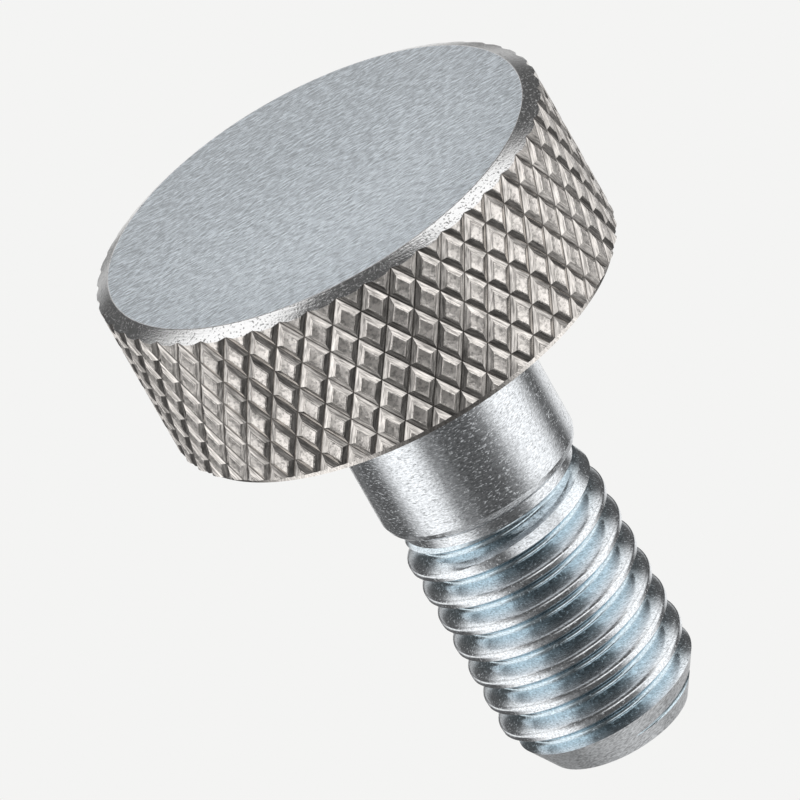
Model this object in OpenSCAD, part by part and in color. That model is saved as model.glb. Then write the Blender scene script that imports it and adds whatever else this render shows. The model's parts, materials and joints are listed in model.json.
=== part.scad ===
// Knurled thumb screw with a plain shoulder, turned from one bar.
// The screw stands on the flat face of its head; +Z runs along its axis to the tip,
// and the origin is the centre of that face. Lengths are in millimetres.

/* [Head] */
// Diameter of the head over the knurl
head_d = 18.2; // [14:0.1:26]
// Height of the head, from its face to its underside
head_h = 6.85; // [4:0.1:12]
// How far the bevel round the face reaches inwards
face_bevel_w = 0.6; // [0.3:0.05:1.2]
// Height of the bevel round the face
face_bevel_h = 0.3; // [0.1:0.05:1]
// Height of the plain band under the knurl
band_h = 0.2; // [0.1:0.05:0.6]
// How far the plain band lies below the bottom of the grooves
band_drop = 0.18; // [0.02:0.01:0.2]
// Height of the bevel where the knurl meets the band
band_bevel_h = 0.1; // [0.05:0.05:0.5]

/* [Knurl] */
// Number of grooves of each hand round the head
knurl_count = 49; // [30:1:60]
// Angle between the grooves and the axis
knurl_angle = 31.4; // [25:0.2:40]
// Depth of the grooves
knurl_depth = 0.11; // [0.05:0.01:0.19]
// Angle between the two walls of a groove
knurl_v_angle = 133; // [90:1:145]
// Height above the face of a ring of points where the grooves cross
knurl_start = 0.2; // [0:0.05:0.9]

/* [Shoulder] */
// Diameter of the plain shoulder
shoulder_d = 8; // [7.95:0.05:11]
// Length of the shoulder, from the underside of the head to the neck
shoulder_l = 6.75; // [3:0.1:20]
// How far the rounded bevel at the end of the shoulder reaches inwards
shoulder_bevel_w = 0.4; // [0.1:0.05:0.45]
// Height of the rounded bevel at the end of the shoulder
shoulder_bevel_h = 0.5; // [0.2:0.05:1.5]

/* [Neck] */
// Diameter of the neck, the part of the shank that is left unthreaded
neck_d = 7; // [6.8:0.05:7.1]
// Length of the neck between the shoulder and the thread
neck_l = 0.5; // [0.3:0.1:3]
// Height of the bevel from the neck down into the first groove
neck_bevel_h = 0.3; // [0.2:0.05:0.5]

/* [Thread] */
// Nominal diameter of the thread
thread_d = 8; // [7.5:0.1:8]
// Pitch of the right-handed thread
thread_pitch = 1.25; // [1:0.05:1.5]
// Length of the thread, from the neck to the end face
thread_l = 10.9; // [6:0.1:30]
// Play that is left over the crests, on the diameter
crest_play = 0.2; // [0.05:0.01:0.25]
// Length in which the thread rises to its full height
run_in_l = 1.1; // [0.5:0.1:2]
// Diameter of the flat end face
tip_d = 5.7; // [4:0.1:6.2]
// Height of the bevel at the tip
tip_bevel_h = 1.8; // [0.6:0.1:3]

/* [Hidden] */

round_fn = 96;
bevel_steps = 6;
// how far the cutting outlines reach past the stock that they trim
cut_margin = 0.5;

head_r = head_d / 2;
shoulder_r = shoulder_d / 2;
neck_r = neck_d / 2;

shoulder_end = head_h + shoulder_l;
thread_start = shoulder_end + neck_l;
tip_end = thread_start + thread_l;

// knurl: rings of crossings, each turned half a step from the ring before it
root_r = head_r - knurl_depth;
band_r = root_r - band_drop;
knurl_step = 360 / knurl_count;
ring_h = PI * root_r / knurl_count / tan(knurl_angle);
knurl_pitch = 2 * PI * root_r / knurl_count * cos(knurl_angle);
groove_half_w = knurl_depth * tan(knurl_v_angle / 2);
// size of the flat on a pyramid, as a share of the diamond that carries it
flat_share = 1 - 2 * groove_half_w / knurl_pitch;
ring_count = ceil(head_h / ring_h) + 3;
// the rings reach past the head at both ends, and the lowest lies below the face
knurl_z = knurl_start % ring_h - 2 * ring_h;

// thread: the standard 60 degree form with rounded roots
thread_fn = 48;
crest_r = (thread_d - crest_play) / 2;
thread_root_r = thread_d / 2 - 0.6134 * thread_pitch;
root_round = 0.1443 * thread_pitch;
crest_half_w = thread_pitch / 16 + crest_play / 2 * tan(30);
// one pitch of the outline, from the middle of a crest: height and radius
thread_outline = [
    [-crest_half_w, crest_r],
    [crest_half_w, crest_r],
    [thread_pitch / 2 - root_round * sin(60), thread_root_r + root_round * (1 - cos(60))],
    [thread_pitch / 2, thread_root_r],
    [thread_pitch / 2 + root_round * sin(60), thread_root_r + root_round * (1 - cos(60))]
];

function on_ring(angle, radius, z) = [radius * cos(angle), radius * sin(angle), z];

// A bar with diamond knurling all over: where two grooves of opposite hand cross, their
// bottoms meet, and between four crossings stands a pyramid with a flat top.
module knurled_bar() {
    n = knurl_count;
    rings = ring_count;
    crossings = [for (k = [0 : rings], c = [0 : n - 1])
        on_ring((c + k / 2) * knurl_step, root_r, knurl_z + k * ring_h)];
    // four corners of each flat: left, high, right and low
    corners = [for (k = [1 : rings - 1], c = [0 : n - 1], q = [0 : 3])
        on_ring((c + (k + 1) / 2) * knurl_step + [-1, 0, 1, 0][q] * flat_share * knurl_step / 2,
            head_r, knurl_z + (k + [0, 1, 0, -1][q] * flat_share) * ring_h)];
    ends = [[0, 0, knurl_z + ring_h / 2], [0, 0, knurl_z + (rings - 0.5) * ring_h]];

    function crossing(k, c) = k * n + c % n;
    function corner(k, c, q) = len(crossings) + ((k - 1) * n + c) * 4 + q % 4;
    function around(k, c) = [crossing(k, c), crossing(k + 1, c), crossing(k, c + 1),
        crossing(k - 1, c + 1)];

    walls = [for (k = [1 : rings - 1], c = [0 : n - 1], q = [0 : 3])
        let (a = around(k, c))
        [a[q], a[(q + 1) % 4], corner(k, c, q + 1), corner(k, c, q)]];
    flats = [for (k = [1 : rings - 1], c = [0 : n - 1], half = [0, 2])
        [corner(k, c, half), corner(k, c, half + 1), corner(k, c, half + 3)]];
    low_end = len(crossings) + len(corners);
    low_cap = [for (c = [0 : n - 1], half = [0, 1])
        half == 0 ? [low_end, crossing(1, c), crossing(0, c + 1)]
            : [low_end, crossing(0, c + 1), crossing(1, c + 1)]];
    high_cap = [for (c = [0 : n - 1], half = [0, 1])
        half == 0 ? [low_end + 1, crossing(rings, c), crossing(rings - 1, c)]
            : [low_end + 1, crossing(rings - 1, c + 1), crossing(rings, c)]];
    polyhedron(concat(crossings, corners, ends), concat(walls, flats, low_cap, high_cap));
}

// Outline of the head as it is turned: face, bevel, knurl, lower bevel and plain band
module head_outline() {
    out = head_r + cut_margin;
    face_slope = face_bevel_h / face_bevel_w;
    band_slope = band_bevel_h / (head_r - band_r);
    polygon([
        [0, 0],
        [head_r - face_bevel_w, 0],
        [out, (out - head_r + face_bevel_w) * face_slope],
        [out, head_h - band_h - (out - band_r) * band_slope],
        [band_r, head_h - band_h],
        [band_r, head_h],
        [0, head_h]
    ]);
}

module head() {
    intersection() {
        knurled_bar();
        rotate_extrude($fn = round_fn) head_outline();
    }
}

// Plain shoulder with its rounded end, and the neck behind it
module shank() {
    bevel_z = shoulder_end - shoulder_bevel_h;
    bevel_r = shoulder_r - shoulder_bevel_w;
    rotate_extrude($fn = round_fn) polygon(concat(
        [[0, head_h / 2], [shoulder_r, head_h / 2]],
        [for (i = [0 : bevel_steps])
            let (a = 90 * i / bevel_steps)
            [bevel_r + shoulder_bevel_w * cos(a), bevel_z + shoulder_bevel_h * sin(a)]],
        [[neck_r, shoulder_end],
            [neck_r, thread_start],
            [neck_r - neck_bevel_h, thread_start + neck_bevel_h],
            [0, thread_start + neck_bevel_h]]
    ));
}

// A bar with a right-handed thread, longer than the screw needs at both ends
module threaded_bar() {
    n = thread_fn;
    points_a_turn = len(thread_outline);
    turns = ceil(thread_l / thread_pitch) + 3;
    rows = turns * points_a_turn;
    z0 = thread_start - 2 * thread_pitch;
    function at(i, j) = let (p = thread_outline[j % points_a_turn])
        on_ring(360 * i / n, p[1],
            z0 + (i / n + floor(j / points_a_turn)) * thread_pitch + p[0]);
    grid = [for (i = [0 : n - 1], j = [0 : rows]) at(i, j)];
    // the last turn ends one pitch above the first column
    last = [for (j = [rows - points_a_turn + 1 : rows]) at(n, j)];
    ends = [[0, 0, z0 + thread_pitch / 2], [0, 0, z0 + (turns + 0.5) * thread_pitch]];

    function index(i, j) = i < n ? i * (rows + 1) + j
        : j + points_a_turn <= rows ? j + points_a_turn
        : n * (rows + 1) + j - (rows - points_a_turn + 1);
    low_end = len(grid) + len(last);

    sides = [for (i = [0 : n - 1], j = [0 : rows - 1], half = [0, 1])
        half == 0 ? [index(i, j), index(i, j + 1), index(i + 1, j + 1)]
            : [index(i, j), index(i + 1, j + 1), index(i + 1, j)]];
    low_cap = concat(
        [for (i = [0 : n - 1]) [low_end, index(i, 0), index(i + 1, 0)]],
        [for (j = [0 : points_a_turn - 1]) [low_end, index(0, j + 1), index(0, j)]]);
    high_cap = concat(
        [for (i = [0 : n - 1]) [low_end + 1, index(i + 1, rows), index(i, rows)]],
        [for (j = [rows - points_a_turn : rows - 1]) [low_end + 1, index(n, j), index(n, j + 1)]]);
    polyhedron(concat(grid, last, ends), concat(sides, low_cap, high_cap));
}

// Outline that trims the thread: it rises out of the neck and ends in the bevelled tip
module thread_envelope() {
    out = crest_r + cut_margin;
    start_r = neck_r - cut_margin / 10;
    rise = (crest_r - start_r) / run_in_l;
    tip_r = tip_d / 2;
    fall = (crest_r - tip_r) / tip_bevel_h;
    polygon([
        [0, thread_start],
        [start_r, thread_start],
        [out, thread_start + (out - start_r) / rise],
        [out, tip_end - (out - tip_r) / fall],
        [tip_r, tip_end],
        [0, tip_end]
    ]);
}

module thread() {
    intersection() {
        threaded_bar();
        rotate_extrude($fn = round_fn) thread_envelope();
    }
}

module thumb_screw() {
    color("#b7bcc0") union() {
        head();
        shank();
        thread();
    }
}

thumb_screw();
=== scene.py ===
"""Finished surfaces of a knurled thumb screw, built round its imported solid.

The screw stands on the flat face of its head, +Z runs along its axis to the tip, and the
origin is the centre of that face. Everything here is in metres.
"""

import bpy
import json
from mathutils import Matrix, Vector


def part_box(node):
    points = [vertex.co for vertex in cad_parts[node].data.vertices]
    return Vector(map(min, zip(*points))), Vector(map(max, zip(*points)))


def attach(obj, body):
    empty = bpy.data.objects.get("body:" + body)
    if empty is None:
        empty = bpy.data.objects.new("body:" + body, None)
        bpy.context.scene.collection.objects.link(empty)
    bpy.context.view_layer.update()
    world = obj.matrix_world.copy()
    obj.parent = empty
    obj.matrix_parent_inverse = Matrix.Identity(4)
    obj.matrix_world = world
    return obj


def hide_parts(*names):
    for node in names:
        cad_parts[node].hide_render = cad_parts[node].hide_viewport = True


bl_info = {
    "name": "Knurled Thumb Screw",
    "version": (1, 0, 0),
    "blender": (4, 5, 0),
    "location": "3D View > Sidebar > Thumb Screw",
    "description": "Builds the finished surfaces of a knurled thumb screw with a plain shoulder",
    "category": "Object",
}

import json
from functools import partial
from math import cos, pi, radians, sin, tan

import bmesh
import bpy
from mathutils import Matrix, Vector

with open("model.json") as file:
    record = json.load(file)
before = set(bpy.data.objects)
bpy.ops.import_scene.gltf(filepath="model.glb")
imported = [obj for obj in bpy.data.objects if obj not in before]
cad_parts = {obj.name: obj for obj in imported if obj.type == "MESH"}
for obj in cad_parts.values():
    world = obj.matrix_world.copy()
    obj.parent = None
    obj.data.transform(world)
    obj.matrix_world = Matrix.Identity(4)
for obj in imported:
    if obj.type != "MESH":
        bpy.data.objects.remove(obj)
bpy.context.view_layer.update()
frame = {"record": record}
BODY = "root"
NODE = "thumb_screw"
MM = 0.001
# how far the turned outlines reach past the stock that they trim
CUT_MARGIN = 0.5 * MM
# faces round a turned surface, but for the head's, which keep step with its grooves
ROUND_SEGMENTS = 256

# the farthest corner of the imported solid's box
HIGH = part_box(NODE)[1]
MOUNTS = {mount["name"]: mount for mount in frame["record"]["mounts"]}
SHOULDER_PIN = MOUNTS["shoulder"]["dims"]


# ---------------------------------------------------------------- sizes and colours


def length(name, about, default):
    """A length in metres that a user may change."""
    return bpy.props.FloatProperty(
        name=name, description=about, default=default, precision=5, min=0.0,
        subtype="DISTANCE", unit="LENGTH")


def angle(name, about, degrees):
    """An angle that a user may change."""
    return bpy.props.FloatProperty(
        name=name, description=about, default=radians(degrees), subtype="ANGLE", unit="ROTATION")


def count(name, about, default):
    """A whole number that a user may change."""
    return bpy.props.IntProperty(name=name, description=about, default=default, min=1)


def paint(name, about, code):
    """A colour that a user may change, given as an sRGB hex value."""
    return bpy.props.FloatVectorProperty(
        name=name, description=about, default=from_hex(code)[:3], size=3, subtype="COLOR",
        min=0.0, max=1.0)


def from_hex(code):
    """The linear colour, with full alpha, of an sRGB hex value such as "#a9b3ba"."""
    parts = [int(code[i:i + 2], 16) / 255 for i in (1, 3, 5)]
    return tuple(c / 12.92 if c <= 0.04045 else ((c + 0.055) / 1.055) ** 2.4 for c in parts) + (1.0,)


class HeadSizes(bpy.types.PropertyGroup):
    """The knurled head."""

    radius: length("Radius", "Radius of the head over the knurl", HIGH.x)
    height: length("Height", "Height of the head", MOUNTS["seat"]["pos_m"][2])
    bevel_width: length("Bevel width", "How far the bevel round the face reaches inwards", 0.6 * MM)
    bevel_height: length("Bevel height", "Height of the bevel round the face", 0.3 * MM)
    edge_round: length("Edge", "Width of the broken edge between face and bevel", 0.05 * MM)
    band_height: length("Band height", "Height of the plain band under the knurl", 0.2 * MM)
    band_drop: length("Band drop", "How far the band lies below the grooves", 0.18 * MM)
    band_bevel: length("Band bevel", "Height of the bevel from the knurl to the band", 0.1 * MM)
    grooves: count("Grooves", "Number of grooves of each hand round the head", 49)
    groove_angle: angle("Groove angle", "Angle between the grooves and the axis", 31.4)
    groove_vee: angle("Groove vee", "Angle between the two walls of a groove", 133)
    groove_depth: length("Groove depth", "Depth of the grooves", 0.11 * MM)
    ring_start: length("Ring height", "Height above the face of a ring of groove crossings", 0.2 * MM)
    slit_depth: length("Slit depth", "Depth of the narrow slit along each groove", 0.02 * MM)
    slit_width: length("Slit width", "Width of the narrow slit along each groove", 0.036 * MM)
    lip_width: length("Lip width", "Width of the lip that the knurling raised round each flat", 0.022 * MM)
    lip_height: length("Lip height", "Height of that lip over the flat", 0.005 * MM)


class ShankSizes(bpy.types.PropertyGroup):
    """The plain shoulder and the neck behind it."""

    radius: length("Shoulder radius", "Radius of the plain shoulder", SHOULDER_PIN["r_mm"] * MM)
    start: length("Shoulder start", "Height at which the shoulder leaves the head",
                  MOUNTS["shoulder"]["pos_m"][2])
    plain_length: length("Shoulder length", "Length of the shoulder up to its bevel",
                         SHOULDER_PIN["length_mm"] * MM)
    bevel_width: length("Bevel width", "How far the rounded bevel reaches inwards", 0.4 * MM)
    bevel_height: length("Bevel height", "Height of the rounded bevel", 0.5 * MM)
    neck_radius: length("Neck radius", "Radius of the neck", 3.5 * MM)
    neck_length: length("Neck length", "Length of the neck", 0.5 * MM)
    neck_bevel: length("Neck bevel", "Bevel from the neck down into the first groove", 0.3 * MM)


class ThreadSizes(bpy.types.PropertyGroup):
    """The thread and the bevelled tip."""

    crest_radius: length("Crest radius", "Radius over the crests", 3.9 * MM)
    pitch: length("Pitch", "Pitch of the right-handed thread", 1.25 * MM)
    crest_width: length("Crest width", "Width of the flat crests", 0.27 * MM)
    root_radius: length("Root radius", "Radius at the bottom of the grooves", 3.233 * MM)
    head_round: length("Crest rounding, head", "Rounding of the crest towards the head", 0.22 * MM)
    tip_round: length("Crest rounding, tip", "Rounding of the crest towards the tip", 0.015 * MM)
    root_round: length("Root rounding", "Rounding at the bottom of the grooves", 0.2 * MM)
    run_in: length("Run-in", "Length in which the thread rises to its full height", 1.1 * MM)
    tip_radius: length("Tip radius", "Radius of the flat end", 2.85 * MM)
    tip_bevel: length("Tip bevel", "Height of the bevel at the tip", 1.8 * MM)
    end: length("End", "Height of the flat end", HIGH.z)


class Finish(bpy.types.PropertyGroup):
    """The colours of the bright zinc on each kind of surface."""

    face: paint("Face", "Cool grey of the brushed face", "#c6cdd3")
    rim: paint("Bevel", "Grey of the bevel round the face", "#dedede")
    knurl: paint("Knurl", "Warm grey of the rolled knurl", "#d8d3ce")
    shoulder: paint("Shoulder", "Neutral grey of the turned shoulder", "#dadde0")
    thread: paint("Groove", "Blue of the plated thread's grooves", "#c1d0d8")
    tip: paint("Tip", "Matt grey of the bevelled tip", "#c6c8ca")


class StageSizes(bpy.types.PropertyGroup):
    """The camera, the floor and the light."""

    view_azimuth: angle("Azimuth", "Turn of the camera round the screw's axis", 0.55)
    view_elevation: angle("Elevation", "Height of the camera over the plane of the face", -24.99)
    view_roll: angle("Roll", "Turn of the camera about its own axis", 150.33)
    view_distance: length("Distance", "Distance from the camera to the face of the head", 1.0)
    floor_size: length("Floor size", "Side of the square floor", 1.2)
    light_level: bpy.props.FloatProperty(
        name="Light level", description="Radiance of the soft boxes", default=1.7, min=0.0)


# ---------------------------------------------------------------- small tools


def sizes(name):
    """The named group of sizes of this scene."""
    return getattr(bpy.context.scene, "thumb_screw_" + name)


def add(tree, kind, *values, inputs=None, **settings):
    """Adds a node with its settings; an input is a value, or a node or socket to link from."""
    made = tree.nodes.new(kind)
    for name, value in settings.items():
        setattr(made, name, value)
    for key, value in [*enumerate(values), *(inputs or {}).items()]:
        if isinstance(value, bpy.types.Node):
            value = value.outputs[0]
        if isinstance(value, bpy.types.NodeSocket):
            tree.links.new(value, made.inputs[key])
        else:
            made.inputs[key].default_value = value
    return made


def new_object(name, data):
    """Links an object for a mesh or a camera, at the origin."""
    made = bpy.data.objects.new(name, data)
    bpy.context.scene.collection.objects.link(made)
    return made


def lathe(name, outline, segments, materials, strips):
    """A closed mesh turned from an outline of (radius, height) that starts and ends on the axis.

    strips holds the number of the material of each stretch of the outline.
    """
    made = bmesh.new()
    rings = []
    for radius, height in outline:
        if radius == 0.0:
            rings.append([made.verts.new((0.0, 0.0, height))])
            continue
        rings.append([
            made.verts.new((radius * cos(a), radius * sin(a), height))
            for a in (2 * pi * i / segments for i in range(segments))])
    for below, above, strip in zip(rings, rings[1:], strips):
        for i in range(segments):
            j = (i + 1) % segments
            corners = [below[i % len(below)], below[j % len(below)],
                       above[j % len(above)], above[i % len(above)]]
            made.faces.new(list(dict.fromkeys(corners))).material_index = strip
    bmesh.ops.recalc_face_normals(made, faces=made.faces)
    mesh = bpy.data.meshes.new(name)
    made.to_mesh(mesh)
    made.free()
    for material in materials:
        mesh.materials.append(material)
    return mesh


def run_tree(name, mesh, tree, inputs):
    """The plain mesh that a geometry node tree makes of a mesh."""
    carrier = new_object(name, mesh)
    modifier = carrier.modifiers.new(name, "NODES")
    modifier.node_group = tree
    for item in tree.interface.items_tree:
        if item.item_type == "SOCKET" and item.in_out == "INPUT" and item.name in inputs:
            modifier[item.identifier] = inputs[item.name]
    return flatten(carrier)


def flatten(carrier):
    """The evaluated mesh of an object, which is removed."""
    graph = bpy.context.evaluated_depsgraph_get()
    made = bpy.data.meshes.new_from_object(
        carrier.evaluated_get(graph), preserve_all_data_layers=True, depsgraph=graph)
    bpy.data.objects.remove(carrier)
    return made


def keep_inside(stock, envelope):
    """The stock's mesh, trimmed to what lies inside the envelope's."""
    carrier = new_object("stock", stock)
    cutter = new_object("envelope", envelope)
    trim = carrier.modifiers.new("trim", "BOOLEAN")
    trim.operation = "INTERSECT"
    trim.solver = "MANIFOLD"
    trim.material_mode = "TRANSFER"
    trim.object = cutter
    made = flatten(carrier)
    bpy.data.objects.remove(cutter)
    return made


def finish_piece(name, mesh, sharp):
    """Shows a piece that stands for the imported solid, smooth up to the given edge angle."""
    mesh.name = name
    mesh.shade_smooth()
    mesh.set_sharp_from_angle(angle=sharp)
    piece = new_object(name, mesh)
    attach(piece, BODY)
    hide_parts(NODE)


# ---------------------------------------------------------------- finishes


# the roughness of a finish changes between these values, which noise hardly ever leaves
GLOSS_SPAN = (0.3, 0.7)
# the noise between the darkest and the lightest streaks
STREAK_SPAN = (0.3, 0.65)

# sizes in millimetres. Scratches: their turn in degrees, then length and width
SHORT_SCRATCHES = (-18, 0.3, 0.065)
CROSSED_SCRATCHES = (-32, 0.38, 0.07)
LONG_SCRATCHES = (-10, 1.3, 0.06)
# marks of a tool: their width, then their length round the axis
FINE_STREAKS = (0.05, 0.13)
THREAD_STREAKS = (0.045, 0.1)
BURRS = (0.055, 0.19)
RIM_MARKS = (0.07, 0.5)
FEED_MARKS = (0.1, 4.0)
# streaks along a groove of the knurl: their width, then their length
WALL_STREAKS = (0.09, 0.45)
# spots that are as wide as they are long
SPECK = 0.09
MOTTLE = 0.17


def new_zinc(name):
    """A metal material, as (material, function that adds a node to it, shader)."""
    material = bpy.data.materials.new(name)
    material.use_nodes = True
    material.node_tree.nodes.clear()
    new = partial(add, material.node_tree)
    shader = new("ShaderNodeBsdfPrincipled", inputs={"Metallic": 1.0})
    new("ShaderNodeOutputMaterial", shader)
    return material, new, shader


def coat(new, shader, colour, tone, shades, gloss, roughness, height, relief):
    """Lays a finish on a shader.

    tone takes the colour from its darkest to its lightest shade, gloss takes the roughness from
    its first value to its second, and height raises a bump whose relief is in millimetres.
    """
    links = shader.id_data.links
    level = new("ShaderNodeMapRange", tone, 0.0, 1.0, *shades)
    painted = new("ShaderNodeVectorMath", colour, operation="SCALE", inputs={"Scale": level})
    rough = new("ShaderNodeMapRange", gloss, *GLOSS_SPAN, *roughness)
    bump = new("ShaderNodeBump", inputs={"Height": height, "Distance": relief * MM})
    links.new(painted.outputs[0], shader.inputs["Base Color"])
    links.new(rough.outputs[0], shader.inputs["Roughness"])
    links.new(bump.outputs[0], shader.inputs["Normal"])


def axis_distance(new):
    """How far a point of the surface lies from the axis."""
    part = new("ShaderNodeSeparateXYZ", new("ShaderNodeTexCoord").outputs["Object"]).outputs
    outward = new("ShaderNodeCombineXYZ", part["X"], part["Y"])
    return new("ShaderNodeVectorMath", outward, operation="LENGTH").outputs["Value"]


def tool_marks(new, width, length_round, detail):
    """Noise drawn out round the axis, as a turning tool leaves it, with sizes in millimetres."""
    part = new("ShaderNodeSeparateXYZ", new("ShaderNodeTexCoord").outputs["Object"]).outputs
    across = 1 / (width * MM)
    along = 1 / (length_round * MM)
    rings = new("ShaderNodeMath", axis_distance(new), across, operation="MULTIPLY")
    drawn = new("ShaderNodeCombineXYZ",
                new("ShaderNodeMath", part["X"], along, rings, operation="MULTIPLY_ADD"),
                new("ShaderNodeMath", part["Y"], along, operation="MULTIPLY"),
                new("ShaderNodeMath", part["Z"], across, operation="MULTIPLY"))
    return new("ShaderNodeTexNoise", inputs={"Vector": drawn, "Scale": 1.0, "Detail": detail})


def scratches(new, turn, along, across):
    """Noise drawn out into straight scratches, turned by degrees, with sizes in millimetres."""
    here = new("ShaderNodeTexCoord").outputs["Object"]
    laid = new("ShaderNodeMapping", here, inputs={
        "Rotation": (0.0, 0.0, radians(turn)),
        "Scale": (1 / (along * MM), 1 / (across * MM), 1 / MM)})
    return new("ShaderNodeTexNoise", inputs={"Vector": laid, "Scale": 1.0, "Detail": 3.0})


def brushed_face(finish):
    """Zinc on a face that was rubbed flat: short fine scratches in a cool satin sheen.

    The scratches of a 240 grit belt are too fine to show, so they are drawn 0.065 mm wide.
    """
    material, new, shader = new_zinc("brushed_zinc_face")
    short = scratches(new, *SHORT_SCRATCHES)
    crossed = scratches(new, *CROSSED_SCRATCHES)
    # only the deepest of the long ones are drawn
    deepest = new("ShaderNodeMapRange", scratches(new, *LONG_SCRATCHES), 0.59, 0.67, 0.0, 0.3)
    strokes = new("ShaderNodeMath", new("ShaderNodeMath", short, crossed, operation="MAXIMUM"),
                  deepest, operation="ADD")
    # a painted sheen makes one side of the face a little paler
    side = new("ShaderNodeSeparateXYZ", new("ShaderNodeTexCoord").outputs["Object"]).outputs["Y"]
    painted_sheen = new("ShaderNodeMath", side, -0.022 / MM, operation="MULTIPLY")
    tone = new("ShaderNodeMath", new("ShaderNodeMapRange", strokes, 0.45, 0.69), painted_sheen,
               operation="ADD")
    coat(new, shader, finish.face, tone=tone, shades=(0.54, 1.56), gloss=short,
         roughness=(0.26, 0.38), height=strokes, relief=0.014)
    return material


def turned_rim(finish):
    """Zinc on the bevel round the face: glossy and pitted, so that it glints in fine specks."""
    material, new, shader = new_zinc("turned_zinc_rim")
    here = new("ShaderNodeTexCoord").outputs["Object"]
    speck = new("ShaderNodeTexNoise", inputs={
        "Vector": here, "Scale": 1 / (SPECK * MM), "Detail": 3.0})
    ring = tool_marks(new, *RIM_MARKS, detail=2.0)
    # only the lowest of the noise makes a pit
    pits = new("ShaderNodeMapRange", speck, 0.31, 0.39)
    marked = new("ShaderNodeMath", ring, 0.3, pits, operation="MULTIPLY_ADD")
    height = new("ShaderNodeMath", speck, 0.35, marked, operation="MULTIPLY_ADD")
    coat(new, shader, finish.rim, tone=pits, shades=(0.5, 1.05), gloss=ring,
         roughness=(0.06, 0.16), height=height, relief=0.012)
    return material


def wall_streaks(new, head):
    """Noise drawn out along the grooves of both hands, each on the walls of its own grooves.

    The streaks that a knurling wheel leaves are finer. They are drawn 0.09 mm wide, to show.
    """
    place = new("ShaderNodeTexCoord")
    here = place.outputs["Object"]
    part = new("ShaderNodeSeparateXYZ", here).outputs
    outward = new("ShaderNodeCombineXYZ", part["X"], part["Y"])
    around = new("ShaderNodeVectorMath", (0.0, 0.0, 1.0), outward, operation="CROSS_PRODUCT")
    around = new("ShaderNodeVectorMath", around, operation="NORMALIZE")
    twist = tan(head.groove_angle) / (head.radius - head.groove_depth)
    width, length_along = WALL_STREAKS
    drawn = 0.0
    for hand in (1, -1):
        # turned back along the grooves of one hand, so that the noise is drawn out along them
        back = new("ShaderNodeMath", part["Z"], -hand * twist, operation="MULTIPLY")
        rolled = new("ShaderNodeVectorRotate", rotation_type="Z_AXIS",
                     inputs={"Vector": here, "Angle": back})
        long = new("ShaderNodeMapping", rolled, inputs={
            "Scale": (1 / (width * MM), 1 / (width * MM), 1 / (length_along * MM))})
        streaks = new("ShaderNodeTexNoise", inputs={"Vector": long, "Scale": 1.0, "Detail": 3.0})
        # the normals of these grooves' own walls stand square to the grooves
        groove = new("ShaderNodeVectorMath", around, (hand * sin(head.groove_angle),) * 3,
                     (0.0, 0.0, cos(head.groove_angle)), operation="MULTIPLY_ADD")
        lean = new("ShaderNodeVectorMath", place.outputs["Normal"], groove,
                   operation="DOT_PRODUCT").outputs["Value"]
        lean = new("ShaderNodeMath", lean, operation="ABSOLUTE")
        own = new("ShaderNodeMapRange", lean, 0.1, 0.2, 1.0, 0.0)
        drawn = new("ShaderNodeMath", new("ShaderNodeMath", streaks, own, operation="MULTIPLY"),
                    drawn, operation="MAXIMUM")
    return drawn


def knurled_zinc(finish, head):
    """Zinc on the rolled knurl: streaks drawn along the walls, matt and mottled flats, painted
    shade at the bottom of the grooves, and painted highlights along the edges of the flats."""
    material, new, shader = new_zinc("rolled_zinc_knurl")
    # 0 at the bottom of the grooves, 1 on the flats, and below 0 on the plain band
    level = new("ShaderNodeMapRange", axis_distance(new), head.radius - head.groove_depth,
                head.radius, clamp=False)
    on_flat = new("ShaderNodeMapRange", level, 0.8, 0.88)
    softened = new("ShaderNodeMath", wall_streaks(new, head), 0.6, 0.2, operation="MULTIPLY_ADD")
    here = new("ShaderNodeTexCoord").outputs["Object"]
    mottle = new("ShaderNodeTexNoise", inputs={
        "Vector": here, "Scale": 1 / (MOTTLE * MM), "Detail": 4.0, "Roughness": 0.7})
    # sockets 2 and 3 of a Mix node are its two plain numbers
    grain = new("ShaderNodeMix", inputs={0: on_flat, 2: softened, 3: mottle})
    height = new("ShaderNodeMath", grain, new("ShaderNodeMapRange", on_flat, 0.0, 1.0, 0.8, 1.8),
                 operation="MULTIPLY")
    # painted shade darkens the lowest fifth of a groove, and a painted highlight brightens the edges of
    # the flats
    off_bottom = new("ShaderNodeMath", level, operation="ABSOLUTE")
    painted_groove_shade = new("ShaderNodeMapRange", off_bottom, 0.0, 0.2, 0.1, 1.0)
    on_edge = new("ShaderNodeMath", level, 0.95, 0.05, operation="COMPARE")
    painted_edge_highlight = new("ShaderNodeMapRange", on_edge, 0.0, 1.0, 0.0, 0.35)
    plain = new("ShaderNodeMath", new("ShaderNodeMapRange", grain, 0.38, 0.6, 0.05, 0.9), painted_groove_shade,
                operation="MULTIPLY")
    tone = new("ShaderNodeMath", plain, painted_edge_highlight, operation="ADD")
    coat(new, shader, finish.knurl, tone=tone, shades=(0.3, 1.26), gloss=on_flat,
         roughness=(0.16, 0.32), height=height, relief=0.013)
    return material


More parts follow.
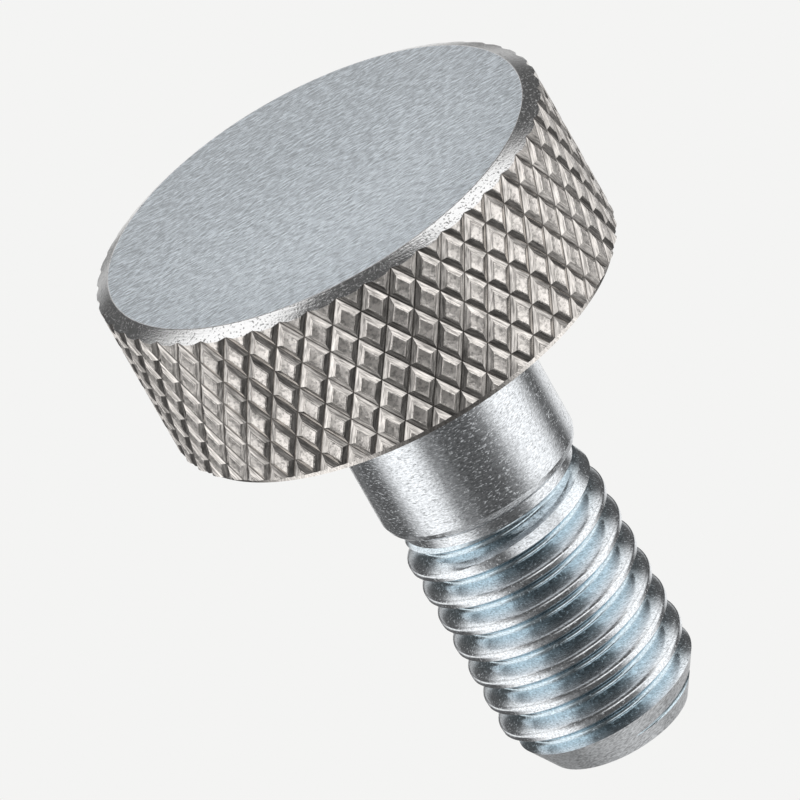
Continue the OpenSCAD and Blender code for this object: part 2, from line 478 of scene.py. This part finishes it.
def turned_shoulder(finish):
    """Zinc on a finely turned cylinder: short streaks round it, under long bands of light.

    The feed marks are finer than can be shown, so they are drawn 0.1 mm wide.
    """
    material, new, shader = new_zinc("turned_zinc_shoulder")
    streak = tool_marks(new, *FINE_STREAKS, detail=3.0)
    ring = tool_marks(new, *FEED_MARKS, detail=2.0)
    burr = new("ShaderNodeMapRange", tool_marks(new, *BURRS, detail=2.0), 0.6, 0.72, 0.0, 1.9)
    marked = new("ShaderNodeMath", ring, 0.3, streak, operation="MULTIPLY_ADD")
    height = new("ShaderNodeMath", marked, burr, operation="ADD")
    tone = new("ShaderNodeMapRange", streak, *STREAK_SPAN)
    coat(new, shader, finish.shoulder, tone=tone, shades=(0.7, 1.2), gloss=ring,
         roughness=(0.16, 0.24), height=height, relief=0.004)
    return material


def plated_thread(finish, thread):
    """Zinc on the rolled thread: blue in the grooves, greyer and finely pitted at the crests."""
    material, new, shader = new_zinc("plated_zinc_thread")
    rise = new("ShaderNodeMapRange", axis_distance(new), thread.root_radius, thread.crest_radius,
               interpolation_type="SMOOTHSTEP")
    # sockets 6 and 7 of a Mix node are its two colours, and output 2 is the mixed one
    colour = new("ShaderNodeMix", data_type="RGBA", inputs={
        0: rise, 6: (*finish.thread, 1.0), 7: (*finish.shoulder, 1.0)}).outputs[2]
    streak = tool_marks(new, *THREAD_STREAKS, detail=2.0)
    here = new("ShaderNodeTexCoord").outputs["Object"]
    speck = new("ShaderNodeTexNoise", inputs={
        "Vector": here, "Scale": 1 / (SPECK * MM), "Detail": 2.0})
    # the lowest of the noise makes pits, and the highest makes burrs
    pits = new("ShaderNodeMapRange", speck, 0.3, 0.4)
    burr = new("ShaderNodeMapRange", speck, 0.62, 0.72, 0.0, 4.5)
    tone = new("ShaderNodeMath", new("ShaderNodeMapRange", streak, *STREAK_SPAN), pits,
               operation="MULTIPLY")
    height = new("ShaderNodeMath", streak, burr, operation="ADD")
    coat(new, shader, colour, tone=tone, shades=(0.74, 1.22), gloss=rise,
         roughness=(0.1, 0.17), height=height, relief=0.001)
    return material


def turned_tip(finish):
    """Zinc on the bevelled tip: plain turned grey with a fine even grain."""
    material, new, shader = new_zinc("turned_zinc_tip")
    streak = tool_marks(new, *FINE_STREAKS, detail=3.0)
    tone = new("ShaderNodeMapRange", streak, *STREAK_SPAN)
    coat(new, shader, finish.tip, tone=tone, shades=(0.44, 1.32), gloss=streak,
         roughness=(0.28, 0.4), height=streak, relief=0.012)
    return material


# ---------------------------------------------------------------- geometry trees


# points that are closer than this are one
WELD = 0.002 * MM
# how far from its middle a bar is closed on the axis, as a share of the height of that middle
BAR_REACH = 1.2


def new_geometry_tree(name, sockets):
    """A geometry node tree with named inputs, as (tree, function that adds a node, inputs)."""
    tree = bpy.data.node_groups.new(name, "GeometryNodeTree")
    for socket, kind in sockets.items():
        tree.interface.new_socket(socket, in_out="INPUT", socket_type="NodeSocket" + kind)
    tree.interface.new_socket("Mesh", in_out="OUTPUT", socket_type="NodeSocketGeometry")
    new = partial(add, tree)
    return tree, new, new("NodeGroupInput").outputs


def wrap(new, sheet, radius, turn, height):
    """Moves every point of a sheet to its radius, turn round the axis and height."""
    x = new("ShaderNodeMath", radius, new("ShaderNodeMath", turn, operation="COSINE"),
            operation="MULTIPLY")
    y = new("ShaderNodeMath", radius, new("ShaderNodeMath", turn, operation="SINE"),
            operation="MULTIPLY")
    spot = new("ShaderNodeCombineXYZ", x, y, height)
    rolled = new("GeometryNodeSetPosition", sheet, inputs={"Position": spot})
    return new("GeometryNodeMergeByDistance", rolled, inputs={"Distance": WELD})


def close_on_axis(new, sheet, middle):
    """Closes a wrapped sheet at both ends with fans that meet on the axis."""
    # sockets 2 and 3 of a Compare node are its two whole numbers
    boundary = new("FunctionNodeCompare", data_type="INT", operation="EQUAL",
                   inputs={2: new("GeometryNodeInputMeshEdgeNeighbors"), 3: 1})
    grown = new("GeometryNodeExtrudeMesh", sheet, mode="EDGES",
                inputs={"Selection": boundary, "Offset Scale": 0.0})
    here = new("ShaderNodeSeparateXYZ", new("GeometryNodeInputPosition")).outputs["Z"]
    end = new("ShaderNodeMath", new("ShaderNodeMath", here, middle, operation="SUBTRACT"),
              operation="SIGN")
    reach = new("ShaderNodeMath", middle, BAR_REACH, operation="MULTIPLY")
    height = new("ShaderNodeMath", end, reach, middle, operation="MULTIPLY_ADD")
    moved = new("GeometryNodeSetPosition", grown, inputs={
        "Selection": grown.outputs["Top"],
        "Position": new("ShaderNodeCombineXYZ", 0.0, 0.0, height)})
    return new("GeometryNodeMergeByDistance", moved, inputs={"Distance": WELD})


def end_tree(new, geometry, material):
    """Ends a tree: the geometry is made real and takes its material."""
    real = new("GeometryNodeRealizeInstances", geometry)
    new("NodeGroupOutput", new("GeometryNodeSetMaterial", real, inputs={"Material": material}))


# ---------------------------------------------------------------- the knurled head


# faces along each side of a pyramid, and faces of the turned head for each groove
TILE_SIDE = 2
SEGMENTS_A_GROOVE = 6


def knurl_tile(profile):
    """One pyramid of the knurl, laid flat: x in steps, y in ring heights, z in groove depths.

    profile holds (share of the diamond, height) from the groove bottoms to the middle.
    """
    corners = [(-0.5, 0.0), (0.0, -1.0), (0.5, 0.0), (0.0, 1.0)]
    made = bmesh.new()
    rings = []
    for share, height in profile[:-1]:
        ring = []
        for (x0, y0), (x1, y1) in zip(corners, corners[1:] + corners[:1]):
            for i in range(TILE_SIDE):
                t = i / TILE_SIDE
                ring.append(made.verts.new(
                    (share * (x0 + (x1 - x0) * t), share * (y0 + (y1 - y0) * t), height)))
        rings.append(ring)
    rings.append([made.verts.new((0.0, 0.0, profile[-1][1]))])
    for outer, inner in zip(rings, rings[1:]):
        n = len(outer)
        for i in range(n):
            j = (i + 1) % n
            made.faces.new(list(dict.fromkeys(
                [outer[i], outer[j], inner[j % len(inner)], inner[i % len(inner)]])))
    mesh = bpy.data.meshes.new("knurl_tile")
    made.to_mesh(mesh)
    made.free()
    return mesh


def knurl_tree():
    """Wraps copies of a flat tile round the axis, in rings that are half a step apart."""
    tree, new, given = new_geometry_tree("Knurl", {
        "Tile": "Geometry", "Count": "Int", "Rings": "Int", "Ring Height": "Float",
        "Start": "Float", "Root Radius": "Float", "Depth": "Float", "Middle": "Float",
        "Material": "Material"})
    total = new("ShaderNodeMath", given["Count"], given["Rings"], operation="MULTIPLY")
    index = new("GeometryNodeInputIndex")
    column = new("ShaderNodeMath", index, given["Count"], operation="MODULO")
    ring = new("ShaderNodeMath", new("ShaderNodeMath", index, given["Count"], operation="DIVIDE"),
               operation="FLOOR")
    # the grooves cross on whole steps of the first ring, so its tiles stand on half steps
    shift = new("ShaderNodeMath", ring, 0.5, 0.5, operation="MULTIPLY_ADD")
    place = new("ShaderNodeMath", column, shift, operation="ADD")
    laid = new("GeometryNodeSetPosition", new("GeometryNodePoints", total),
               inputs={"Position": new("ShaderNodeCombineXYZ", place, ring)})
    copies = new("GeometryNodeInstanceOnPoints", laid, inputs={"Instance": given["Tile"]})
    sheet = new("GeometryNodeRealizeInstances", copies)

    flat = new("ShaderNodeSeparateXYZ", new("GeometryNodeInputPosition")).outputs
    turn = new("ShaderNodeMath", new("ShaderNodeMath", flat["X"], 2 * pi, operation="MULTIPLY"),
               given["Count"], operation="DIVIDE")
    height = new("ShaderNodeMath", flat["Y"], given["Ring Height"], given["Start"],
                 operation="MULTIPLY_ADD")
    radius = new("ShaderNodeMath", flat["Z"], given["Depth"], given["Root Radius"],
                 operation="MULTIPLY_ADD")
    bar = close_on_axis(new, wrap(new, sheet, radius, turn, height), given["Middle"])
    end_tree(new, bar, given["Material"])
    return tree


def head_envelope(head, materials):
    """The head as it is turned: face, bevel, room for the knurl, band and underside."""
    band = head.radius - head.groove_depth - head.band_drop
    out = head.radius + CUT_MARGIN
    face_r = head.radius - head.bevel_width
    slope = head.bevel_height / head.bevel_width
    band_slope = head.band_bevel / (head.radius - band)
    band_top = head.height - head.band_height
    edge = head.edge_round / 2
    # the face has a ring halfway, and one between the ends of its edge rounds that a little
    outline = [
        (0.0, 0.0),
        (face_r * 0.5, 0.0),
        (face_r - edge, 0.0),
        (face_r + edge * 0.4, edge * 0.5 * slope),
        (face_r + edge, edge * slope),
        (out, (out - face_r) * slope),
        (out, band_top - (out - band) * band_slope),
        (band, band_top),
        (band, head.height),
        (0.0, head.height),
    ]
    face, rim, knurl, underside = range(4)
    strips = [face, face, rim, rim, rim, knurl, knurl, knurl, underside]
    segments = SEGMENTS_A_GROOVE * head.grooves
    return lathe("head_envelope", outline, segments, materials, strips)


def build_head():
    """The knurled head."""
    head = sizes("head")
    finish = sizes("finish")
    root = head.radius - head.groove_depth
    ring_height = pi * root / head.grooves / tan(head.groove_angle)
    pitch = 2 * pi * root / head.grooves * cos(head.groove_angle)
    # shares of the diamond that carries a pyramid, and the height of the pyramid's flat
    flat = 1 - 2 * head.groove_depth * tan(head.groove_vee / 2) / pitch
    slit = head.slit_width / pitch
    lip = 2 * head.lip_width / pitch
    low = 1 - head.lip_height / head.groove_depth
    # from the bottom of the slit up the wall, over the lip and down to the flat
    profile = [
        (1.0, -head.slit_depth / head.groove_depth),
        (1 - slit, slit / (1 - flat)),
        (flat, 1.0),
        (flat - lip, low),
        (0.0, low),
    ]
    knurl = knurled_zinc(finish, head)
    # the rings of pyramids reach past the head at both ends
    bar = run_tree("knurled_bar", knurl_tile(profile), knurl_tree(), {
        "Count": head.grooves,
        "Rings": int(head.height / ring_height) + 5,
        "Ring Height": ring_height,
        "Start": head.ring_start - 2 * ring_height,
        "Root Radius": root,
        "Depth": head.groove_depth,
        "Middle": head.height / 2,
        "Material": knurl,
    })
    materials = [brushed_face(finish), turned_rim(finish), knurl, turned_shoulder(finish)]
    mesh = keep_inside(bar, head_envelope(head, materials))
    finish_piece("knurled_head", mesh, sharp=radians(16))


# ---------------------------------------------------------------- the shoulder and neck


# where the strips that the tool left on the rounded bevel begin and end, in degrees round it
BEVEL_STOPS = (0, 9, 37, 45, 75, 90)


def build_shank():
    """The plain shoulder with its rounded end, and the neck."""
    shank = sizes("shank")
    bevel_z = shank.start + shank.plain_length
    bevel_r = shank.radius - shank.bevel_width
    end = bevel_z + shank.bevel_height
    thread_start = end + shank.neck_length
    rounded = [
        (bevel_r + shank.bevel_width * cos(a), bevel_z + shank.bevel_height * sin(a))
        for a in map(radians, BEVEL_STOPS)]
    outline = [
        (0.0, shank.start - CUT_MARGIN),
        (shank.radius, shank.start - CUT_MARGIN),
        *rounded,
        (shank.neck_radius, end),
        (shank.neck_radius, thread_start),
        (shank.neck_radius - shank.neck_bevel, thread_start + shank.neck_bevel),
        (0.0, thread_start + shank.neck_bevel),
    ]
    finish = sizes("finish")
    strips = [0] * (len(outline) - 1)
    mesh = lathe("shoulder", outline, ROUND_SEGMENTS, [turned_shoulder(finish)], strips)
    finish_piece("shoulder_and_neck", mesh, sharp=radians(12))


# ---------------------------------------------------------------- the thread and tip


# faces round one turn, and faces from root to root
THREAD_COLUMNS = 128
THREAD_ROWS = 32
# how fast a flank of a 60 degree thread falls away from its crest
FLANK_SLOPE = tan(radians(60))


def thread_tree():
    """A helical strip, one pitch high, whose edges meet from turn to turn."""
    tree, new, given = new_geometry_tree("Thread", {
        "Stock": "Geometry", "Columns": "Int", "Turns": "Int", "Rows": "Int", "Pitch": "Float",
        "Start": "Float", "Crest Radius": "Float", "Root Radius": "Float", "Crest Width": "Float",
        "Head Rounding": "Float", "Tip Rounding": "Float", "Root Rounding": "Float", "Middle": "Float",
        "Material": "Material"})
    steps = new("ShaderNodeMath", given["Columns"], given["Turns"], 1.0, operation="MULTIPLY_ADD")
    grid = new("GeometryNodeMeshGrid", inputs={
        "Size X": given["Turns"], "Size Y": 1.0, "Vertices X": steps,
        "Vertices Y": new("ShaderNodeMath", given["Rows"], 1.0, operation="ADD")})
    flat = new("ShaderNodeSeparateXYZ", new("GeometryNodeInputPosition")).outputs
    turns = new("ShaderNodeMath", given["Turns"], 0.5, flat["X"], operation="MULTIPLY_ADD")
    turn = new("ShaderNodeMath", turns, 2 * pi, operation="MULTIPLY")
    climb = new("ShaderNodeMath", turns, flat["Y"], operation="ADD")
    height = new("ShaderNodeMath", climb, given["Pitch"], given["Start"], operation="MULTIPLY_ADD")
    # the flat strip runs from root to root, with the crest along its middle
    away = new("ShaderNodeMath", new("ShaderNodeMath", flat["Y"], operation="ABSOLUTE"),
               given["Pitch"], operation="MULTIPLY")
    past_crest = new("ShaderNodeMath", given["Crest Width"], -0.5, away, operation="MULTIPLY_ADD")
    flank = new("ShaderNodeMath", past_crest, -FLANK_SLOPE, given["Crest Radius"],
                operation="MULTIPLY_ADD")
    # the rounding changes over in the middle of the crest, within a fiftieth of the pitch
    rounding = new("ShaderNodeMapRange", flat["Y"], -0.01, 0.01, given["Head Rounding"],
                   given["Tip Rounding"])
    crested = new("ShaderNodeMath", flank, given["Crest Radius"], rounding,
                  operation="SMOOTH_MIN")
    radius = new("ShaderNodeMath", crested, given["Root Radius"], given["Root Rounding"],
                 operation="SMOOTH_MAX")
    bar = close_on_axis(new, wrap(new, grid, radius, turn, height), given["Middle"])
    end_tree(new, bar, given["Material"])
    return tree


def build_thread():
    """The thread, trimmed to its run-in and to the bevelled tip."""
    thread = sizes("thread")
    shank = sizes("shank")
    finish = sizes("finish")
    start = shank.start + shank.plain_length + shank.bevel_height + shank.neck_length
    plated = plated_thread(finish, thread)
    # the bar reaches past the thread at both ends
    bar = run_tree("threaded_bar", bpy.data.meshes.new("thread_stock"), thread_tree(), {
        "Columns": THREAD_COLUMNS,
        "Turns": int((thread.end - start) / thread.pitch) + 4,
        "Rows": THREAD_ROWS,
        "Pitch": thread.pitch,
        "Start": start - 2 * thread.pitch,
        "Crest Radius": thread.crest_radius,
        "Root Radius": thread.root_radius,
        "Crest Width": thread.crest_width,
        "Head Rounding": thread.head_round,
        "Tip Rounding": thread.tip_round,
        "Root Rounding": thread.root_round,
        "Middle": (start + thread.end) / 2,
        "Material": plated,
    })
    out = thread.crest_radius + CUT_MARGIN
    start_r = shank.neck_radius - CUT_MARGIN / 10
    rise = (thread.crest_radius - start_r) / thread.run_in
    fall = (thread.crest_radius - thread.tip_radius) / thread.tip_bevel
    outline = [
        (0.0, start),
        (start_r, start),
        (out, start + (out - start_r) / rise),
        (out, thread.end - (out - thread.tip_radius) / fall),
        (thread.tip_radius, thread.end),
        (0.0, thread.end),
    ]
    materials = [plated, turned_tip(finish)]
    groove, tip = range(2)
    strips = [groove, groove, groove, tip, tip]
    envelope = lathe("thread_envelope", outline, ROUND_SEGMENTS, materials, strips)
    mesh = keep_inside(bar, envelope)
    finish_piece("threaded_end", mesh, sharp=radians(25))


# ---------------------------------------------------------------- camera, floor and light


# where the middle of the face lies in the frame of 800 by 800 pixels, and how many pixels a
# metre at the face takes up
FRAME_PX = 800
FACE_PX = (314.56, 186.51)
SCALE_PX = 27342.0


def camera_axes(stage):
    """The camera's right, up and back directions."""
    a, e, roll = stage.view_azimuth, stage.view_elevation, stage.view_roll
    back = Vector((sin(a) * cos(e), -cos(a) * cos(e), sin(e)))
    level = Vector((cos(a), sin(a), 0.0))
    upright = back.cross(level)
    right = level * cos(roll) + upright * sin(roll)
    return right, back.cross(right), back


def place_camera(stage):
    """Puts the camera below the level of the floor, where it looks up at the face."""
    right, up, back = camera_axes(stage)
    across = (FACE_PX[0] - FRAME_PX / 2) / SCALE_PX
    down = (FACE_PX[1] - FRAME_PX / 2) / SCALE_PX
    data = bpy.data.cameras.new("camera")
    data.lens = SCALE_PX * stage.view_distance / FRAME_PX * data.sensor_width
    data.clip_start = 0.01
    data.clip_end = 10.0
    camera = new_object("camera", data)
    place = back * stage.view_distance - right * across + up * down
    turn = Matrix((right, up, back)).transposed().to_4x4()
    camera.matrix_world = Matrix.Translation(place) @ turn
    bpy.context.scene.camera = camera


# how far the floor lies under the face, so that the two stay apart
FLOOR_GAP = 0.01 * MM
FLOOR_COLOUR = from_hex("#e6e6e4")
# how strongly the floor glows in its own colour, for the camera alone
FLOOR_LIFT = 0.5


def place_floor(stage):
    """A pale floor that is seen from above only, so that the face can be seen from below."""
    half = stage.floor_size / 2
    corners = [(x * half, y * half, -FLOOR_GAP) for x, y in ((-1, -1), (1, -1), (1, 1), (-1, 1))]
    mesh = bpy.data.meshes.new("floor")
    mesh.from_pydata(corners, [], [(0, 1, 2, 3)])
    material = bpy.data.materials.new("pale_floor")
    material.use_nodes = True
    material.node_tree.nodes.clear()
    new = partial(add, material.node_tree)
    pale = new("ShaderNodeBsdfDiffuse", FLOOR_COLOUR)
    side = new("ShaderNodeNewGeometry").outputs["Backfacing"]
    seen = new("ShaderNodeLightPath").outputs["Is Camera Ray"]
    lift = new("ShaderNodeEmission", FLOOR_COLOUR,
               new("ShaderNodeMath", seen, FLOOR_LIFT, operation="MULTIPLY"))
    new("ShaderNodeOutputMaterial",
        new("ShaderNodeMixShader", side, new("ShaderNodeAddShader", pale, lift),
            new("ShaderNodeBsdfTransparent")))
    mesh.materials.append(material)
    floor = new_object("floor", mesh)
    floor.visible_glossy = False
    floor.visible_diffuse = False
    floor.visible_shadow = False


# soft boxes round the screw, each from one side to the other in degrees round its axis (0 is the
# camera's side and positive is to the camera's right), then from one end to the other along the
# axis (-1 is towards the head and 1 towards the tip), with its share of the light level
SOFT_BOXES = {
    "left strip": (-107, -50, -0.70, 0.72, 1.0),
    "right strip": (46, 108, -0.70, 0.72, 1.0),
    "left strip end": (-124, -60, -1.10, -0.70, 0.95),
    "right strip end": (50, 118, -1.10, -0.70, 0.95),
    "left low": (-150, -78, -0.30, 0.04, 0.85),
    "right low": (-9, 96, 0.00, 0.50, 0.95),
    "right back": (138, 190, -0.05, 0.25, 0.8),
    "backdrop right": (166, 190, -0.95, -0.40, 0.81),
    "beside backdrop right": (140, 190, -0.52, -0.40, 0.6),
    "backdrop left": (-190, -166, -0.95, -0.40, 0.81),
    "beside backdrop left": (-190, -140, -0.52, -0.40, 0.6),
    "beyond tip right": (90, 190, 0.74, 1.10, 0.75),
    "beyond tip left": (-190, -100, 0.74, 1.10, 0.6),
    "behind tip right": (140, 190, 0.30, 0.65, 0.7),
    "behind tip left": (-190, -140, 0.30, 0.65, 0.4),
    "left fill": (-64, -26, -0.30, 0.95, 0.2),
    "right fill": (26, 62, 0.55, 0.95, 0.17),
}
# the same share for the rest of the room
ROOM_LEVEL = 0.08
# how far the edges of a soft box fade, in degrees round the axis and along it
TURN_SOFTNESS = 16
RISE_SOFTNESS = 0.1
# the part of the pale background that lies behind the screw, and is mirrored in its metal: it
# starts so many degrees round the axis, and reaches so far along it to both ends
BEHIND_TURN = 167
BEHIND_RISE = 0.28


def plateau(new, value, low, high, softness):
    """1 where a value lies between low and high and 0 outside them, with soft edges."""
    edges = [
        new("ShaderNodeMapRange", value, at - softness, at + softness,
            interpolation_type="SMOOTHSTEP")
        for at in (low, high)]
    return new("ShaderNodeMath", *edges, operation="SUBTRACT")


def light_world(stage):
    """Soft boxes along both sides of the screw, a pale backdrop and a dim room."""
    back = camera_axes(stage)[2]
    along = (Vector((0.0, 0.0, 1.0)) - back * back.z).normalized()
    side = back.cross(along)
    world = bpy.data.worlds.new("studio")
    bpy.context.scene.world = world
    world.use_nodes = True
    world.node_tree.nodes.clear()
    new = partial(add, world.node_tree)
    ray = new("ShaderNodeTexCoord").outputs["Generated"]
    across, toward, rise = [
        new("ShaderNodeVectorMath", ray, axis, operation="DOT_PRODUCT").outputs["Value"]
        for axis in (side, back, along)]
    turn = new("ShaderNodeMath", new("ShaderNodeMath", across, toward, operation="ARCTAN2"),
               operation="DEGREES")
    level = ROOM_LEVEL
    for start, end, low, high, strength in SOFT_BOXES.values():
        box = new("ShaderNodeMath", plateau(new, turn, start, end, TURN_SOFTNESS),
                  plateau(new, rise, low, high, RISE_SOFTNESS), operation="MULTIPLY")
        lit = new("ShaderNodeMath", box, strength, operation="MULTIPLY")
        level = new("ShaderNodeMath", lit, level, operation="MAXIMUM")
    radiance = new("ShaderNodeMath", level, stage.light_level, operation="MULTIPLY")
    boxes = new("ShaderNodeBackground", inputs={"Strength": radiance})
    backdrop = new("ShaderNodeBackground", from_hex("#f4f4f3"))
    behind = new("ShaderNodeMath",
                 new("ShaderNodeMath", new("ShaderNodeMath", turn, operation="ABSOLUTE"),
                     BEHIND_TURN, operation="GREATER_THAN"),
                 plateau(new, rise, -BEHIND_RISE, BEHIND_RISE, RISE_SOFTNESS),
                 operation="MULTIPLY")
    path = new("ShaderNodeLightPath").outputs
    metal = new("ShaderNodeMath", path["Is Glossy Ray"], path["Is Transmission Ray"],
                operation="MAXIMUM")
    mirrored = new("ShaderNodeMath", metal, behind, operation="MULTIPLY")
    seen = new("ShaderNodeMath", path["Is Camera Ray"], mirrored, operation="MAXIMUM")
    new("ShaderNodeOutputWorld", new("ShaderNodeMixShader", seen, boxes, backdrop))


# ---------------------------------------------------------------- operators and panel


class THUMBSCREW_OT_head(bpy.types.Operator):
    """Build the knurled head"""

    bl_idname = "thumb_screw.head"
    bl_label = "Knurled Head"

    def execute(self, context):
        build_head()
        return {"FINISHED"}


class THUMBSCREW_OT_shank(bpy.types.Operator):
    """Build the plain shoulder and the neck"""

    bl_idname = "thumb_screw.shank"
    bl_label = "Shoulder and Neck"

    def execute(self, context):
        build_shank()
        return {"FINISHED"}


class THUMBSCREW_OT_thread(bpy.types.Operator):
    """Build the thread and the bevelled tip"""

    bl_idname = "thumb_screw.thread"
    bl_label = "Thread and Tip"

    def execute(self, context):
        build_thread()
        return {"FINISHED"}


class THUMBSCREW_OT_stage(bpy.types.Operator):
    """Set up the camera, the floor and the light"""

    bl_idname = "thumb_screw.stage"
    bl_label = "Camera, Floor and Light"

    def execute(self, context):
        stage = sizes("stage")
        place_camera(stage)
        place_floor(stage)
        light_world(stage)
        context.scene.view_settings.view_transform = "Standard"
        return {"FINISHED"}


class THUMBSCREW_PT_panel(bpy.types.Panel):
    """Sizes, colours and steps of the thumb screw"""

    bl_idname = "THUMBSCREW_PT_panel"
    bl_label = "Thumb Screw"
    bl_space_type = "VIEW_3D"
    bl_region_type = "UI"
    bl_category = "Thumb Screw"

    def draw(self, context):
        for name, group in GROUPS.items():
            box = self.layout.box()
            box.label(text=name.title())
            for field in group.__annotations__:
                box.prop(getattr(context.scene, "thumb_screw_" + name), field)
        for operator in OPERATORS:
            self.layout.operator(operator.bl_idname)


GROUPS = {
    "head": HeadSizes,
    "shank": ShankSizes,
    "thread": ThreadSizes,
    "finish": Finish,
    "stage": StageSizes,
}
OPERATORS = (THUMBSCREW_OT_head, THUMBSCREW_OT_shank, THUMBSCREW_OT_thread, THUMBSCREW_OT_stage)


def register():
    """Registers the sizes, the operators and the panel."""
    for name, group in GROUPS.items():
        bpy.utils.register_class(group)
        setattr(bpy.types.Scene, "thumb_screw_" + name, bpy.props.PointerProperty(type=group))
    for kind in OPERATORS + (THUMBSCREW_PT_panel,):
        bpy.utils.register_class(kind)


def unregister():
    """Takes back what register did."""
    for kind in (THUMBSCREW_PT_panel,) + OPERATORS[::-1]:
        bpy.utils.unregister_class(kind)
    for name, group in GROUPS.items():
        delattr(bpy.types.Scene, "thumb_screw_" + name)
        bpy.utils.unregister_class(group)


def main():
    """Builds every piece and the stage."""
    register()
    bpy.ops.thumb_screw.head()
    bpy.ops.thumb_screw.shank()
    bpy.ops.thumb_screw.thread()
    bpy.ops.thumb_screw.stage()


if __name__ == "__main__":
    main()
